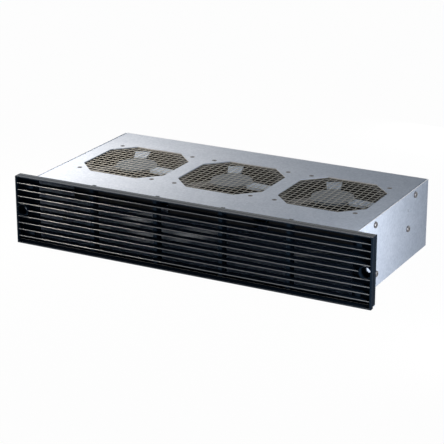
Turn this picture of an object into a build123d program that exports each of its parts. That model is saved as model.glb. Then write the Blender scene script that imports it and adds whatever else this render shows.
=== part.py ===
from build123d import *
import os

# Rack fan tray: two-unit louvred front, folded steel chassis, three axial fans blowing up.
# Millimetres. X runs along the rack width, the front faces -Y, Z is up.

# Front panel and chassis
panel_height = 88.1
panel_depth = 12.0
ear_reach = 23.3
chassis_end_margin = 12.5
fan_clear_depth = 49.25
chassis_inset = 0.5
sheet = 1.2
bend_radius = 1.2
sheet_gap = 0.15
ear_end_margin = 0.8
rear_flange_width = 15.0
top_flange = 16.0
base_flange = 25.0

# Rack fixing
rack_hole_inset = 8.75
rack_hole_r = 3.5

# Louvre moulding
frame_side = 2.3
frame_edge = 1.5
frame_step = 3.0
frame_front_depth = 6.0
slat_openings = 10
slat_depth = 6.4
slat_rise = 1.4
slat_thickness = 1.4
slat_setback = 0.3
rib_spacing = 88.9
rib_count = 4
rib_width = 5.0
rib_depth = 12.0
rib_margin = 1.5
hook_length = 3.0
ear_back_thickness = 2.0
well_r = 7.0
well_wall = 1.2
louvre_screw_offset = 4.3
louvre_screw_z = 30.0
louvre_screw_r = 1.5
louvre_screw_length = 6.0
louvre_post = 6.4

# Fans
fan_size = 119.5
fan_thickness = 38.0
fan_count = 3
fan_gap = 17.5
fan_hole_inset = 7.35
fan_hole_r = 2.1
fan_duct_wall = 2.75
strut_root = 1.0
fan_corner_r = 6.0
strut_count = 3
strut_width = 12.0
strut_end_width = 20.0
strut_thickness = 3.5
strut_recess = 1.0
strut_angle = -8.0
motor_plate_r = 26.0
tube_r = 7.0
tube_bore_r = 5.0
tube_length = 26.0
shaft_r = 2.5
running_gap = 0.05
seat_gap = 0.02
bearing_width = 5.0
hub_r = 25.5
hub_wall = 2.9
hub_web = 3.0
hub_bottom = 2.0
hub_gap = 0.6
rotor_ring_wall = 3.2
rotor_ring_sides = 24
air_gap = 0.8
stator_slots = 8
stator_slot = 3.0
stator_slot_depth = 7.0
stator_height = 19.0
blade_count = 5
blade_tip_gap = 0.9
blade_root_chord = 31.0
blade_tip_chord = 44.0
blade_root_angle = 45.0
blade_tip_angle = 29.0
blade_camber = 3.0
blade_thickness = 2.2
blade_edge = 0.9

# Mesh guards over the fans
opening_margin = 1.25
opening_corner_share = 0.218
guard_rim = 3.0
guard_pitch = 8.0
guard_wire = 1.3
guard_layer = 0.5
pad_gap = 1.0

# Fasteners
fan_screw_head_r = 3.15
fan_screw_length = 11.0
side_screw_r = 2.0
side_screw_head_r = 4.0
side_screw_head_height = 2.5
side_screw_length = 6.0
pan_rim = 0.4
pan_taper = 45.0
head_sides = 12
shank_sides = 8
side_hole_clearance = 0.1
nut_height = 3.0
nut_across_flats = 7.0
cover_screw_depths = (61.0, 185.0)
cover_screw_drop = 7.3
base_screw_depth = 67.4
base_screw_rise = 16.9
locating_hole_rise = 23.4
locating_hole_r = 1.75
rear_screw_spacing = 32.0
rear_screw_head_height = 2.2

# Wiring rail, terminal block and leads
rail_inset = 16.15
rail_screw_drop = 4.8
rail_width = 26.0
rail_shelf_drop = 11.4
rail_tab_rise = 4.6
block_length = 22.0
block_width = 19.0
block_height = 13.5
block_inset = 8.0
block_ways = 3
block_way_pitch = 6.4
block_well = 3.6
block_well_depth = 5.0
lead_r = 1.6
lead_sides = 6
lead_pitch = 5.0
lead_bend = 8.0
lead_inset = 19.75
core_r = 1.2
core_bend = 3.0
core_stagger = 4.0

# Mains inlet with its fuse drawer
inlet_inset = 53.0
inlet_flange_width = 50.0
inlet_flange_height = 34.0
inlet_flange = 3.0
inlet_flange_corner = 4.0
inlet_body_width = 28.4
inlet_body_height = 32.0
inlet_body_depth = 22.0
inlet_cutout_gap = 0.2
socket_width = 24.5
socket_height = 16.5
socket_depth = 17.0
socket_corner = 4.0
socket_drop = 6.8
pin_spacing = 14.0
pin_offset = 4.0
pin_width = 2.0
pin_height = 4.0
pin_reach = 14.0
tab_length = 8.0
inlet_screw_spacing = 40.0
inlet_screw_r = 1.5
inlet_screw_head_r = 2.8
inlet_screw_length = 9.0
inlet_nut_height = 2.4
inlet_nut_across_flats = 5.5
drawer_width = 22.0
drawer_height = 7.2
drawer_length = 18.0
drawer_rise = 10.4
drawer_gap = 0.2
drawer_cap_margin = 1.3
drawer_cap = 1.5
drawer_floor = 1.0
drawer_grip = 5.0
fuse_r = 2.5
fuse_length = 20.0
fuse_cap_length = 5.0
fuse_body_r = 2.2
fuse_gap = 0.2
fuse_inset = 6.0

# Sizes and places worked out from the sizes above
fan_pitch = fan_size + fan_gap
fan_hole_spacing = fan_size - 2 * fan_hole_inset
fan_bore_r = fan_size / 2 - fan_duct_wall
opening_flats = fan_size - 2 * opening_margin
opening_corner = opening_flats * opening_corner_share
guard_bars = int(opening_flats // guard_pitch)
chassis_width = fan_count * fan_pitch + 2 * chassis_end_margin
chassis_depth = fan_size + 2 * fan_clear_depth
panel_width = chassis_width + 2 * ear_reach
rack_spacing = panel_width - 2 * rack_hole_inset
front_y = -(panel_depth + chassis_depth + inlet_flange) / 2
ear_y = front_y + panel_depth
rear_y = ear_y + chassis_depth
flange_y = rear_y - sheet
base_z = chassis_inset
top_z = panel_height - chassis_inset
wall_x = chassis_width / 2
nest_x = wall_x - sheet - sheet_gap
ear_x = panel_width / 2 - ear_end_margin
louvre_screw_x = wall_x + louvre_screw_offset
middle_z = panel_height / 2
outer_bend = bend_radius + sheet
fan_y = ear_y + chassis_depth / 2
guard_thickness = 2 * guard_layer
fan_top_z = top_z - sheet - guard_thickness
fan_z = fan_top_z - fan_thickness
fan_places = {"left": -fan_pitch, "centre": 0.0, "right": fan_pitch}
cover_screw_z = top_z - cover_screw_drop
base_screw_z = base_z + base_screw_rise
rail_screw_z = fan_z - rail_screw_drop
shelf_z = rail_screw_z - rail_shelf_drop
rail_y = fan_y + fan_size / 2 - rail_inset
inlet_x = wall_x - inlet_inset

os.makedirs("parts", exist_ok=True)


def save(piece, name):
    piece.label = name
    export_step(piece, f"parts/{name}.step")


def facing_front(y):
    """Upright plane at y, with X to the right and Z up as seen from the front."""
    return Plane((0, y, 0), x_dir=(1, 0, 0), z_dir=(0, -1, 0))


def fold(points, radii):
    """Section of a folded sheet: the points follow one side and the sheet lies to their left."""
    with BuildLine() as outline:
        FilletPolyline(*points, radius=radii)
        offset(amount=sheet, side=Side.LEFT)
    make_face(outline.edges())


# Side panels, with the rack ear turned out in front and a flange turned in behind
wall_holes = [(front_y + d, cover_screw_z) for d in cover_screw_depths]
wall_holes += [(front_y + base_screw_depth, base_screw_z), (rail_y, rail_screw_z)]
flange_low_z = base_z + base_flange + bend_radius
flange_high_z = top_z - top_flange - bend_radius
ear_line = [(ear_x, ear_y + sheet), (wall_x, ear_y + sheet)]
rear_flange_x = wall_x - rear_flange_width
rear_screw_x = wall_x - outer_bend - rear_flange_width / 2 + sheet

with BuildPart() as side_panel:
    with BuildSketch(Plane.XY.offset(base_z)):
        fold(ear_line + [(wall_x, flange_y)], bend_radius)
    extrude(amount=top_z - base_z)
    with BuildSketch(Plane.XY.offset(flange_low_z)):
        fold(ear_line + [(wall_x, flange_y), (rear_flange_x, flange_y)], [bend_radius, outer_bend])
    extrude(amount=flange_high_z - flange_low_z)
    with BuildSketch(Plane.YZ.offset(wall_x)):
        with Locations(*wall_holes):
            Circle(side_screw_r + side_hole_clearance)
        with Locations((rail_y, rail_screw_z + locating_hole_rise)):
            Circle(locating_hole_r)
    extrude(amount=-2 * sheet, mode=Mode.SUBTRACT)
    with BuildSketch(facing_front(ear_y)):
        with Locations((rack_spacing / 2, middle_z)):
            Circle(rack_hole_r)
        with Locations((louvre_screw_x, middle_z)):
            with GridLocations(0, 2 * louvre_screw_z, 1, 2):
                Circle(louvre_screw_r + side_hole_clearance)
    extrude(amount=-2 * sheet, mode=Mode.SUBTRACT)
    with BuildSketch(facing_front(flange_y)):
        with Locations((rear_screw_x, middle_z)):
            with GridLocations(0, rear_screw_spacing, 1, 2):
                Circle(side_screw_r + seat_gap)
    extrude(amount=2 * sheet, mode=Mode.SUBTRACT)
save(side_panel.part, "side_panel_right")

with BuildPart() as side_panel_left:
    add(side_panel.part)
    mirror(about=Plane.YZ, mode=Mode.REPLACE)
save(side_panel_left.part, "side_panel_left")


# Base panel, a shallow tray with its edges turned up inside the sides
plate_length = flange_y - sheet_gap - ear_y
base_edge_z = base_z + base_flange
with BuildPart() as base_panel:
    with BuildSketch(facing_front(ear_y)):
        corners = [(-nest_x, base_edge_z), (-nest_x, base_z), (nest_x, base_z), (nest_x, base_edge_z)]
        fold(corners, outer_bend)
    extrude(amount=-plate_length)
    with BuildSketch(Plane.YZ.offset(-wall_x)):
        with Locations((front_y + base_screw_depth, base_screw_z)):
            Circle(side_screw_r + side_hole_clearance)
    extrude(amount=chassis_width, mode=Mode.SUBTRACT)
save(base_panel.part, "base_panel")


# Top panel, nested between the sides, with an eight-sided opening over each fan
top_edge_z = top_z - top_flange
with BuildPart() as top_panel:
    with BuildSketch(facing_front(ear_y)):
        corners = [(nest_x, top_edge_z), (nest_x, top_z), (-nest_x, top_z), (-nest_x, top_edge_z)]
        fold(corners, outer_bend)
    extrude(amount=-plate_length)
    with BuildSketch(Plane.XY.offset(top_z)) as openings:
        with Locations((0, fan_y)):
            with GridLocations(fan_pitch, 0, fan_count, 1):
                Rectangle(opening_flats, opening_flats)
        chamfer(openings.vertices(), opening_corner)
    extrude(amount=-2 * sheet, mode=Mode.SUBTRACT)
    with Locations((0, fan_y, top_z)):
        with GridLocations(fan_pitch, 0, fan_count, 1):
            with GridLocations(fan_hole_spacing, fan_hole_spacing, 2, 2):
                CounterSinkHole(fan_hole_r, fan_screw_head_r, depth=2 * sheet)
    with BuildSketch(Plane.YZ.offset(-wall_x)):
        with Locations(*[(front_y + d, cover_screw_z) for d in cover_screw_depths]):
            Circle(side_screw_r + side_hole_clearance)
    extrude(amount=chassis_width, mode=Mode.SUBTRACT)
save(top_panel.part, "top_panel")


# Rear panel, screwed to the flanges of the sides
inlet_z = middle_z
rear_panel_width = 2 * (wall_x - bend_radius)
rear_panel_height = top_z - base_z - 2 * sheet_gap
with BuildPart() as rear_panel:
    with BuildSketch(facing_front(rear_y)):
        with Locations((0, middle_z)):
            Rectangle(rear_panel_width, rear_panel_height)
            with GridLocations(2 * rear_screw_x, rear_screw_spacing, 2, 2):
                Circle(side_screw_r + side_hole_clearance, mode=Mode.SUBTRACT)
        with Locations((inlet_x, inlet_z)):
            Rectangle(
                inlet_body_width + 2 * inlet_cutout_gap,
                inlet_body_height + 2 * inlet_cutout_gap,
                mode=Mode.SUBTRACT,
            )
            with GridLocations(inlet_screw_spacing, 0, 2, 1):
                Circle(inlet_screw_r + side_hole_clearance, mode=Mode.SUBTRACT)
    extrude(amount=sheet)
save(rear_panel.part, "rear_panel")


# Louvre moulding: a stepped frame, sloping slats, ribs behind them and a closed back at each ear
slat_pitch = (panel_height - frame_edge) / slat_openings
frame_inner_x = panel_width / 2 - frame_side
slat_rear_y = front_y + slat_setback + slat_depth
riser_height = frame_step + frame_edge
rib_front_y = front_y + frame_front_depth
rib_low_z = base_z + sheet + rib_margin
rib_high_z = top_z - sheet - rib_margin
ear_back_x = wall_x - rib_width
with BuildPart() as louvre_panel:
    with BuildSketch(facing_front(rib_front_y)):
        with Locations((0, middle_z)):
            Rectangle(panel_width, panel_height)
            Rectangle(2 * frame_inner_x, panel_height - 2 * frame_edge, mode=Mode.SUBTRACT)
    extrude(amount=frame_front_depth)
    with BuildSketch(facing_front(ear_y)):
        with Locations((0, middle_z + frame_step / 2)):
            Rectangle(panel_width, panel_height - frame_step)
            Rectangle(2 * frame_inner_x, panel_height - frame_step - 2 * frame_edge, mode=Mode.SUBTRACT)
    extrude(amount=panel_depth - frame_front_depth + frame_edge)
    with BuildSketch(facing_front(rib_front_y)):
        with Locations((0, riser_height / 2)):
            Rectangle(panel_width, riser_height)
    extrude(amount=frame_edge)
    with BuildSketch(Plane.YZ.offset(-frame_inner_x - frame_side / 2)):
        for row in range(1, slat_openings):
            nose_z = frame_edge / 2 + row * slat_pitch
            low, high = nose_z - slat_thickness / 2, nose_z + slat_thickness / 2
            nose_y = front_y + slat_setback + slat_thickness / 2
            with BuildLine():
                ThreePointArc((nose_y, high), (nose_y - slat_thickness / 2, nose_z), (nose_y, low))
                Polyline(
                    (nose_y, low),
                    (slat_rear_y, low + slat_rise),
                    (slat_rear_y, high + slat_rise),
                    (nose_y, high),
                )
            make_face()
    extrude(amount=2 * frame_inner_x + frame_side)
    with BuildSketch(facing_front(ear_y)):
        with Locations((0, middle_z)):
            with GridLocations(rib_spacing, 0, rib_count, 1):
                Rectangle(rib_width, panel_height - frame_edge)
    extrude(amount=panel_depth - frame_front_depth)
    with BuildSketch(facing_front(rib_front_y + rib_depth)):
        with Locations((0, middle_z)):
            with GridLocations(rib_spacing, 0, rib_count, 1):
                Rectangle(rib_width, rib_high_z - rib_low_z)
    extrude(amount=rib_depth)
    with BuildSketch(Plane.XY.offset(top_z + seat_gap)):
        with Locations((0, ear_y)):
            with GridLocations(rib_spacing, 0, rib_count, 1):
                Rectangle(rib_width, 2 * hook_length)
    extrude(amount=panel_height - top_z - seat_gap)
    for side in (-1, 1):
        with BuildSketch(facing_front(ear_y)):
            with Locations((side * (ear_back_x + frame_inner_x) / 2, middle_z + frame_step / 2)):
                Rectangle(frame_inner_x - ear_back_x, panel_height - frame_step - frame_edge)
        extrude(amount=ear_back_thickness)
        with BuildSketch(facing_front(ear_y)):
            with Locations((side * louvre_screw_x, middle_z)):
                with GridLocations(0, 2 * louvre_screw_z, 1, 2):
                    Rectangle(louvre_post, louvre_post)
        extrude(amount=louvre_screw_length)
        with BuildSketch(facing_front(ear_y)):
            with Locations((side * rack_spacing / 2, middle_z)):
                Circle(well_r + well_wall)
        extrude(amount=panel_depth - slat_setback)
        with BuildSketch(facing_front(ear_y - ear_back_thickness)):
            with Locations((side * rack_spacing / 2, middle_z)):
                Circle(well_r)
        extrude(amount=panel_depth, mode=Mode.SUBTRACT)
        with BuildSketch(facing_front(ear_y)):
            with Locations((side * rack_spacing / 2, middle_z)):
                Circle(rack_hole_r)
        extrude(amount=ear_back_thickness, mode=Mode.SUBTRACT)
        with BuildSketch(facing_front(ear_y)):
            with Locations((side * louvre_screw_x, middle_z)):
                with GridLocations(0, 2 * louvre_screw_z, 1, 2):
                    RegularPolygon(louvre_screw_r + seat_gap, shank_sides, major_radius=False)
        extrude(amount=louvre_screw_length - sheet, mode=Mode.SUBTRACT)
save(louvre_panel.part, "louvre_panel")


def pan_screw(radius, head_r, head_height, length):
    """Domed screw along -Z, its head standing on the plane z = 0."""
    rim = head_height * pan_rim
    with BuildPart() as screw:
        with BuildSketch():
            RegularPolygon(head_r, head_sides)
        extrude(amount=rim)
        with BuildSketch(Plane.XY.offset(rim)):
            RegularPolygon(head_r, head_sides)
        extrude(amount=head_height - rim, taper=pan_taper)
        with BuildSketch():
            RegularPolygon(radius, shank_sides)
        extrude(amount=-length)
    return screw.part


def flat_screw(radius, head_r, length):
    """Countersunk screw along -Z, its head flush with the plane z = 0."""
    with BuildPart() as screw:
        with BuildSketch():
            RegularPolygon(head_r, head_sides)
        with BuildSketch(Plane.XY.offset(radius - head_r)):
            RegularPolygon(radius, head_sides)
        loft(ruled=True)
        with BuildSketch():
            RegularPolygon(radius, shank_sides)
        extrude(amount=-length)
    return screw.part


def hex_nut(hole_r, across_flats, height):
    """Hexagonal nut standing on z = 0."""
    with BuildPart() as nut:
        with BuildSketch():
            RegularPolygon(across_flats / 2, 6, major_radius=False)
            RegularPolygon(hole_r, shank_sides, major_radius=False, mode=Mode.SUBTRACT)
        extrude(amount=height)
    return nut.part


def place(piece, planes):
    """Copies of one piece, its own XY plane laid on each of the planes."""
    return Compound(children=[piece.moved(plane.location) for plane in planes])


def outer_wall(side, y, z, inset=0.0):
    return Plane((side * (wall_x - inset), y, z), x_dir=(0, side, 0), z_dir=(side, 0, 0))


def facing_rear(x, y, z):
    return Plane((x, y, z), x_dir=(-1, 0, 0), z_dir=(0, 1, 0))


# Screws through the sides and the clinch nuts that take them
side_screw = pan_screw(side_screw_r, side_screw_head_r, side_screw_head_height, side_screw_length)
cover_screws = [outer_wall(s, front_y + d, cover_screw_z) for s in (-1, 1) for d in cover_screw_depths]
base_screws = [outer_wall(s, front_y + base_screw_depth, base_screw_z) for s in (-1, 1)]
rail_screws = [outer_wall(s, rail_y, rail_screw_z) for s in (-1, 1)]
save(place(side_screw, cover_screws), "cover_screws")
save(place(side_screw, base_screws), "base_screws")
save(place(side_screw, rail_screws), "rail_screws")

clinch_nut = hex_nut(side_screw_r + seat_gap, nut_across_flats, nut_height)
nut_inset = 2 * sheet + sheet_gap + nut_height
nut_planes = [plane.offset(-nut_inset) for plane in cover_screws + base_screws + rail_screws]
save(place(clinch_nut, nut_planes), "clinch_nuts")

louvre_screw = pan_screw(louvre_screw_r, 1.7 * louvre_screw_r, louvre_screw_r, louvre_screw_length - sheet)
louvre_screw_planes = [
    facing_rear(s * louvre_screw_x, ear_y + sheet, middle_z + r * louvre_screw_z)
    for s in (-1, 1)
    for r in (-1, 1)
]
save(place(louvre_screw, louvre_screw_planes), "louvre_screws")

rear_screw = pan_screw(side_screw_r, side_screw_head_r, rear_screw_head_height, side_screw_length)
rear_screw_planes = [
    facing_rear(s * rear_screw_x, rear_y, middle_z + r * rear_screw_spacing / 2)
    for s in (-1, 1)
    for r in (-1, 1)
]
save(place(rear_screw, rear_screw_planes), "rear_screws")

fan_screw = flat_screw(fan_hole_r - running_gap, fan_screw_head_r - running_gap, fan_screw_length)
fan_screw_planes = [
    Plane((x + i * fan_hole_spacing / 2, fan_y + j * fan_hole_spacing / 2, top_z))
    for x in fan_places.values()
    for i in (-1, 1)
    for j in (-1, 1)
]
save(place(fan_screw, fan_screw_planes), "fan_screws")


# Mesh guard: two crossed layers of bars inside one eight-sided rim, clamped under the top panel
def mesh_layer(turn, z):
    with BuildSketch(Plane.XY.offset(z), mode=Mode.PRIVATE) as gaps:
        Rectangle(opening_flats, opening_flats)
        chamfer(gaps.vertices(), opening_corner)
        with GridLocations(0, guard_pitch, 1, guard_bars):
            Rectangle(opening_flats, guard_wire, mode=Mode.SUBTRACT)
    with BuildPart() as layer:
        with BuildSketch(Plane.XY.offset(z)) as rim:
            Rectangle(opening_flats + 2 * guard_rim, opening_flats + 2 * guard_rim)
            chamfer(rim.vertices(), opening_corner + 2 * guard_rim - guard_rim * 2**0.5)
        extrude(amount=guard_layer)
        extrude(gaps.sketch.rotate(Axis.Z, turn), amount=guard_layer, mode=Mode.SUBTRACT)
    return layer.part


mesh_guard = Compound(children=[mesh_layer(90, 0), mesh_layer(0, guard_layer)])


# Fan frame: die-cast duct with solid corners, with struts and a motor plate on the outlet side
strut_z = fan_thickness - strut_recess - strut_thickness
tube_z = strut_z - tube_length
pad_reach = opening_flats - opening_corner + guard_rim * 2**0.5 + pad_gap
with BuildPart() as fan_frame:
    with BuildSketch():
        RectangleRounded(fan_size, fan_size, fan_corner_r)
        Circle(fan_bore_r, mode=Mode.SUBTRACT)
    extrude(amount=fan_thickness)
    with BuildSketch(Plane.XY.offset(fan_thickness)):
        RectangleRounded(fan_size, fan_size, fan_corner_r)
        Rectangle(pad_reach * 2**0.5, pad_reach * 2**0.5, rotation=45, mode=Mode.SUBTRACT)
    extrude(amount=guard_thickness)
    with BuildSketch(Plane.XY.offset(strut_z)):
        Circle(motor_plate_r)
        strut_length = fan_bore_r + strut_root
        strut_side = [(0, strut_width / 2), (strut_length, strut_end_width / 2)]
        strut_outline = strut_side + [(x, -y) for x, y in reversed(strut_side)]
        with PolarLocations(0, strut_count, start_angle=strut_angle):
            Polygon(*strut_outline, align=None)
    extrude(amount=strut_thickness)
    with BuildSketch(Plane.XY.offset(tube_z)):
        Circle(tube_r)
        Circle(tube_bore_r, mode=Mode.SUBTRACT)
    extrude(amount=tube_length)
    with BuildSketch():
        with GridLocations(fan_hole_spacing, fan_hole_spacing, 2, 2):
            Circle(fan_hole_r)
    extrude(amount=fan_thickness + guard_thickness, mode=Mode.SUBTRACT)


def ring(inner_r, outer_r, low_z, high_z):
    with BuildPart() as tube:
        with BuildSketch(Plane.XY.offset(low_z)):
            Circle(outer_r)
            Circle(inner_r, mode=Mode.SUBTRACT)
        extrude(amount=high_z - low_z)
    return tube.part


# Motor: slotted stator on the tube, two bearings in it, shaft and rotor ring
hub_top_z = strut_z - hub_gap
cup_r = hub_r - hub_wall
rotor_inner_r = cup_r - seat_gap - rotor_ring_wall
stator_r = rotor_inner_r - air_gap
stator_z = strut_z - stator_height - bearing_width / 2
with BuildPart() as fan_stator:
    with BuildSketch(Plane.XY.offset(stator_z)):
        Circle(stator_r)
        Circle(tube_r + seat_gap, mode=Mode.SUBTRACT)
        with PolarLocations(stator_r - stator_slot_depth, stator_slots):
            Rectangle(stator_r, stator_slot, align=(Align.MIN, Align.CENTER), mode=Mode.SUBTRACT)
    extrude(amount=stator_height)

bearing_r = tube_bore_r - seat_gap
bearing_bore_r = shaft_r + running_gap
bearing_heights = (tube_z, strut_z - 2 * bearing_width)
bearings = [
    ring(bearing_bore_r, bearing_r, z, z + bearing_width).moved(Location((x, fan_y, fan_z)))
    for x in fan_places.values()
    for z in bearing_heights
]
save(Compound(children=bearings), "fan_bearings")
rotor_low_z = hub_bottom + hub_web
with BuildPart() as fan_rotor_ring:
    with BuildSketch(Plane.XY.offset(rotor_low_z)):
        RegularPolygon(cup_r - seat_gap, rotor_ring_sides)
        RegularPolygon(rotor_inner_r, rotor_ring_sides, major_radius=False, mode=Mode.SUBTRACT)
    extrude(amount=hub_top_z - hub_gap - rotor_low_z)
with BuildPart() as fan_shaft:
    with BuildSketch(Plane.XY.offset(hub_bottom)):
        Circle(shaft_r)
    extrude(amount=strut_z - bearing_width / 2 - hub_bottom)


# Impeller: a cup over the motor and twisted blades lofted from root to tip
def blade_section(radius, chord, angle, plane_angle):
    """Cambered section across the radius, level with the middle of the hub."""
    turned = Plane.XY.rotated((0, 0, plane_angle))
    blade_z = (hub_bottom + hub_top_z) / 2
    plane = Plane(
        turned.x_dir * radius + Vector(0, 0, blade_z), x_dir=turned.y_dir, z_dir=turned.x_dir
    ).rotated((0, 0, angle))
    half, tip = chord / 2, blade_edge / 2
    bulge = blade_camber + blade_thickness / 2
    hollow = blade_camber - blade_thickness / 2
    with BuildSketch(plane) as section:
        with BuildLine():
            back = Polyline((half, tip), (0, bulge), (-half, tip), (-half, -tip))
            Polyline(back @ 1, (0, hollow), (half, -tip), back @ 0)
        make_face()
    return section.sketch


blade_root_r = cup_r - hub_wall
blade_end_r = fan_size / 2
blade_tip_r = fan_bore_r - blade_tip_gap
with BuildPart() as fan_impeller:
    with BuildSketch(Plane.XY.offset(hub_bottom)):
        Circle(hub_r)
    extrude(amount=hub_top_z - hub_bottom)
    for blade in range(blade_count):
        turn = blade * 360 / blade_count
        root = blade_section(blade_root_r, blade_root_chord, blade_root_angle, turn)
        end = blade_section(blade_end_r, blade_tip_chord, blade_tip_angle, turn)
        loft([root, end], ruled=True)
    with BuildSketch(Plane.XY.offset(0)):
        Circle(blade_tip_r)
    extrude(amount=fan_thickness, mode=Mode.INTERSECT)
    with BuildSketch(Plane.XY.offset(rotor_low_z)):
        Circle(cup_r)
    extrude(amount=fan_thickness, mode=Mode.SUBTRACT)
    with BuildSketch():
        Circle(shaft_r + seat_gap)
    extrude(amount=fan_thickness, mode=Mode.SUBTRACT)

for side, x in fan_places.items():
    fan_place = Location((x, fan_y, fan_z))
    save(mesh_guard.moved(Location((x, fan_y, fan_top_z))), f"mesh_guard_{side}")
    save(fan_frame.part.moved(fan_place), f"fan_frame_{side}")
    save(fan_stator.part.moved(fan_place), f"fan_stator_{side}")
    save(fan_shaft.part.moved(fan_place), f"fan_shaft_{side}")
    save(fan_rotor_ring.part.moved(fan_place), f"fan_rotor_ring_{side}")
    save(fan_impeller.part.moved(fan_place), f"fan_impeller_{side}")


# Wiring rail: a shelf under the fans with an upturned tab at each side panel
rail_top_z = rail_screw_z + rail_tab_rise
with BuildPart() as wiring_rail:
    with BuildSketch(facing_front(rail_y - rail_width / 2)):
        tab_x = wall_x - sheet - sheet_gap
        corners = [(-tab_x, rail_top_z), (-tab_x, shelf_z), (tab_x, shelf_z), (tab_x, rail_top_z)]
        fold(corners, outer_bend)
    extrude(amount=-rail_width)
    with BuildSketch(Plane.YZ.offset(-wall_x)):
        with Locations((rail_y, rail_screw_z)):
            Circle(side_screw_r + side_hole_clearance)
    extrude(amount=chassis_width, mode=Mode.SUBTRACT)
save(wiring_rail.part, "wiring_rail")

shelf_top_z = shelf_z + sheet
block_x = nest_x - block_inset - block_length / 2
block_end_x = block_x - block_length / 2
block_rear_y = rail_y + block_width / 2
with BuildPart() as terminal_block:
    with BuildSketch(Plane.XY.offset(shelf_top_z)):
        with Locations((block_x, rail_y)):
            Rectangle(block_length, block_width)
    extrude(amount=block_height)
    upright = terminal_block.edges().filter_by(Axis.Z)
    chamfer(upright, sheet)
    with BuildSketch(Plane.XY.offset(shelf_top_z + block_height)):
        with Locations((block_x, rail_y)):
            with GridLocations(block_way_pitch, block_width / 2, block_ways, 2):
                Rectangle(block_well, block_well)
    extrude(amount=-block_well_depth, mode=Mode.SUBTRACT)
save(terminal_block.part, "terminal_block")


def tube(points, radius, bend):
    """Round lead along straight runs joined by tangent arcs."""
    with BuildPart() as lead:
        with BuildLine() as route:
            FilletPolyline(*points, radius=bend)
        with BuildSketch(Plane(route.line @ 0, z_dir=route.line % 0)):
            RegularPolygon(radius, lead_sides)
        sweep(path=route.line)
    return lead.part


# Fan leads: down from each fan's rear corner and along the shelf to the terminal block
lead_z = shelf_top_z + lead_r
for order, (side, x) in enumerate(fan_places.items()):
    lead_x = x + fan_size / 2 - lead_inset
    lead_y = rail_y + (order - 1) * lead_pitch
    route = [(lead_x, lead_y, fan_z), (lead_x, lead_y, lead_z), (block_end_x, lead_y, lead_z)]
    save(tube(route, lead_r, lead_bend), f"fan_lead_{side}")


# Mains inlet: flange on the rear panel, socket below and fuse drawer above
socket_z = inlet_z - socket_drop
drawer_z = inlet_z + drawer_rise
inlet_face_y = rear_y + inlet_flange
pin_z = {-1: socket_z - pin_offset / 2, 0: socket_z + pin_offset / 2, 1: socket_z - pin_offset / 2}
drawer_slot_depth = drawer_cap + drawer_length + drawer_gap
with BuildPart() as inlet_body:
    with BuildSketch(facing_front(inlet_face_y)) as flange:
        with Locations((inlet_x, inlet_z)):
            Rectangle(inlet_flange_width, inlet_flange_height)
        chamfer(flange.vertices(), inlet_flange_corner)
    extrude(amount=inlet_flange)
    with BuildSketch(facing_front(rear_y)):
        with Locations((inlet_x, inlet_z)):
            Rectangle(inlet_body_width, inlet_body_height)
    extrude(amount=inlet_body_depth)
    with BuildSketch(facing_front(inlet_face_y)) as socket:
        with Locations((inlet_x, socket_z)):
            Rectangle(socket_width, socket_height)
        chamfer(socket.vertices().group_by(Axis.Z)[-1], socket_corner)
    extrude(amount=socket_depth, mode=Mode.SUBTRACT)
    with BuildSketch(facing_front(inlet_face_y)):
        with Locations((inlet_x, drawer_z)):
            Rectangle(drawer_width + 2 * drawer_gap, drawer_height + 2 * drawer_gap)
    extrude(amount=drawer_slot_depth, mode=Mode.SUBTRACT)
    with BuildSketch(facing_front(inlet_face_y)):
        with Locations((inlet_x, drawer_z)):
            cap_margin = 2 * (drawer_cap_margin + drawer_gap)
            Rectangle(drawer_width + cap_margin, drawer_height + cap_margin)
    extrude(amount=drawer_cap, mode=Mode.SUBTRACT)
    with BuildSketch(facing_front(inlet_face_y)):
        for way, z in pin_z.items():
            with Locations((inlet_x + way * pin_spacing / 2, z)):
                Rectangle(pin_width, pin_height)
    extrude(amount=inlet_flange + inlet_body_depth, mode=Mode.SUBTRACT)
    for way in (-1, 1):
        with Locations(facing_rear(inlet_x + way * inlet_screw_spacing / 2, inlet_face_y, inlet_z)):
            CounterSinkHole(inlet_screw_r + side_hole_clearance, inlet_screw_head_r, depth=2 * inlet_flange)
save(inlet_body.part, "inlet_body")

tab_y = rear_y - inlet_body_depth - tab_length
with BuildPart() as inlet_pins:
    with BuildSketch(facing_front(inlet_face_y - socket_depth + pin_reach)):
        for way, z in pin_z.items():
            with Locations((inlet_x + way * pin_spacing / 2, z)):
                Rectangle(pin_width, pin_height)
    extrude(amount=inlet_face_y - socket_depth + pin_reach - tab_y)
save(inlet_pins.part, "inlet_pins")

inlet_screw = flat_screw(inlet_screw_r, inlet_screw_head_r - side_hole_clearance, inlet_screw_length)
inlet_nut = hex_nut(inlet_screw_r + seat_gap, inlet_nut_across_flats, inlet_nut_height)
inlet_screw_planes = [
    facing_rear(inlet_x + way * inlet_screw_spacing / 2, inlet_face_y, inlet_z) for way in (-1, 1)
]
inlet_nut_planes = [plane.offset(-inlet_flange - sheet - inlet_nut_height) for plane in inlet_screw_planes]
save(place(inlet_screw, inlet_screw_planes), "inlet_screws")
save(place(inlet_nut, inlet_nut_planes), "inlet_nuts")

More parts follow.
